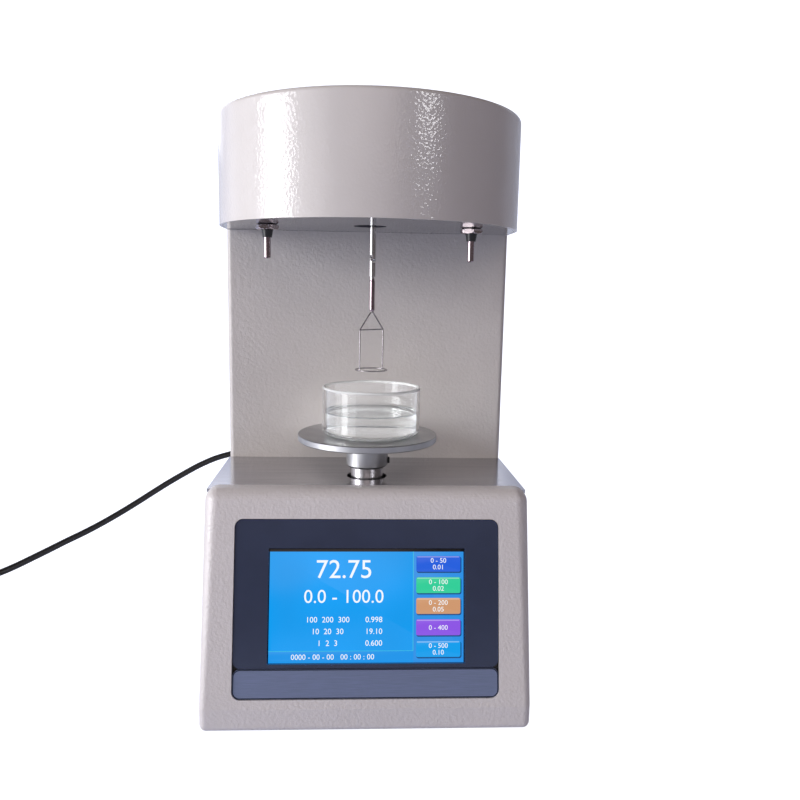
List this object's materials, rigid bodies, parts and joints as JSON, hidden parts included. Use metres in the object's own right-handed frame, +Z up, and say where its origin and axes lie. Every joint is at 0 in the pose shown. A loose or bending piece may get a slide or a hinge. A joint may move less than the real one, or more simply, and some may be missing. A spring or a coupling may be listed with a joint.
{
  "type": "surface tensiometer",
  "caption": "Benchtop surface tensiometer: round-fronted balance head over a rising glass dish on a disc, slanted console with a touch screen, wire ring on a hook, mains lead.",
  "frame": {"origin": "middle of the footprint, at the bottom of the feet", "axes": "+Z up, console and screen face -Y, +X to the viewer's right"},
  "size_m": [0.5314, 0.3481, 0.3555],
  "materials": {
    "painted_shell": "ivory gloss powder coat, orange-peel",
    "painted_column": "light grey fine-texture powder coat",
    "mirror_steel": "polished stainless",
    "steel": "machined",
    "plated_steel": "zinc plated",
    "platinum": "platinum-iridium wire, dull polish",
    "aluminium": "fine turned",
    "brass": "turned",
    "magnet": "nickel plated magnet and pole pieces",
    "copper_coil": "enamelled copper winding",
    "bobbin": "moulded",
    "rubber": "moulded",
    "black_plastic": "moulded",
    "panel_film": "printed film, dark blue",
    "plate_film": "printed film, grey blue",
    "screen_glass": "lit display under glass",
    "circuit_board": "green solder mask",
    "clear_glass": "clear, thick walled",
    "cord_pvc": "black PVC"
  },
  "bodies": {
    "base": {"front_shell": "painted_shell", "deck_plate": "mirror_steel", "column_shell": "painted_column", "head_shell": "painted_shell", "head_floor": "painted_column", "rear_panel": "painted_column", "base_pan": "plated_steel", "foot_front_left": "rubber", "foot_front_right": "rubber", "foot_rear_left": "rubber", "foot_rear_right": "rubber", "panel_frame": "black_plastic", "display_bezel": "panel_film", "touch_screen": "screen_glass", "display_module": "plated_steel", "display_board": "circuit_board", "name_plate": "plate_film", "post_pins": "steel", "post_bushes": "black_plastic", "post_nuts": "plated_steel", "balance_base": "aluminium", "pivot_frame": "aluminium", "pivot_pin": "steel", "magnet_pot": "magnet", "magnet_core": "magnet", "position_sensor": "black_plastic", "lift_motor": "black_plastic", "motor_bracket": "plated_steel", "stem_bush": "black_plastic", "bush_plate": "aluminium", "guide_rod": "steel", "main_board": "circuit_board", "power_supply": "plated_steel", "inlet_socket": "black_plastic", "switch_body": "black_plastic", "case_screws": "steel", "mains_connector": "cord_pvc", "cord_run": "cord_pvc", "cord_coil": "cord_pvc", "mains_plug": "cord_pvc"},
    "screw": {"lead_screw": "steel"},
    "lift": {"lift_nut": "brass", "lift_stem": "steel", "guide_arm": "aluminium", "tray_hub": "aluminium", "hub_screw": "black_plastic", "tray": "aluminium"},
    "dish": {"dish": "clear_glass"},
    "beam": {"balance_beam": "aluminium", "coil_bobbin": "bobbin", "coil_winding": "copper_coil", "counterweight": "brass", "hanger_pin": "steel"},
    "hanger": {"hanger_rod": "steel", "hook_pin": "steel"},
    "ring_set": {"ring_holder": "steel", "stirrup": "platinum", "ring": "platinum"},
    "rocker": {"rocker": "black_plastic"}
  },
  "joints": [
    {"name": "screw_turn", "type": "hinge", "parent": "base", "child": "screw", "pos_m": [0, -0.0595, 0.08], "axis": [0, 0, 1], "range_deg": [-900.1, 5760.1]},
    {"name": "lift_slide", "type": "slide", "parent": "base", "child": "lift", "axis": [0, 0, 1], "range_m": [-0.005, 0.032]},
    {"name": "dish_slide", "type": "slide", "parent": "lift", "child": "dish", "axis": [0, -1, 0], "range_m": [0, 0.085]},
    {"name": "beam_tilt", "type": "hinge", "parent": "base", "child": "beam", "pos_m": [0.0018, 0, 0.322], "axis": [1, 0, 0], "range_deg": [-0.5, 0.5], "stiffness_Nm_per_rad": 8},
    {"name": "hanger_swing", "type": "hinge", "parent": "beam", "child": "hanger", "pos_m": [0.0018, -0.0595, 0.322], "axis": [1, 0, 0], "range_deg": [-4, 4]},
    {"name": "ring_swing", "type": "hinge", "parent": "hanger", "child": "ring_set", "pos_m": [0.0018, -0.0595, 0.2716], "axis": [1, 0, 0], "range_deg": [-4, 4]},
    {"name": "rocker_tilt", "type": "hinge", "parent": "base", "child": "rocker", "pos_m": [0, 0.1245, 0.1], "axis": [-1, 0, 0], "range_deg": [0, 16]}
  ],
  "couplings": [
    {"joint": "screw_turn", "follows": "lift_slide", "rad_per_m": 3141.6}
  ]
}
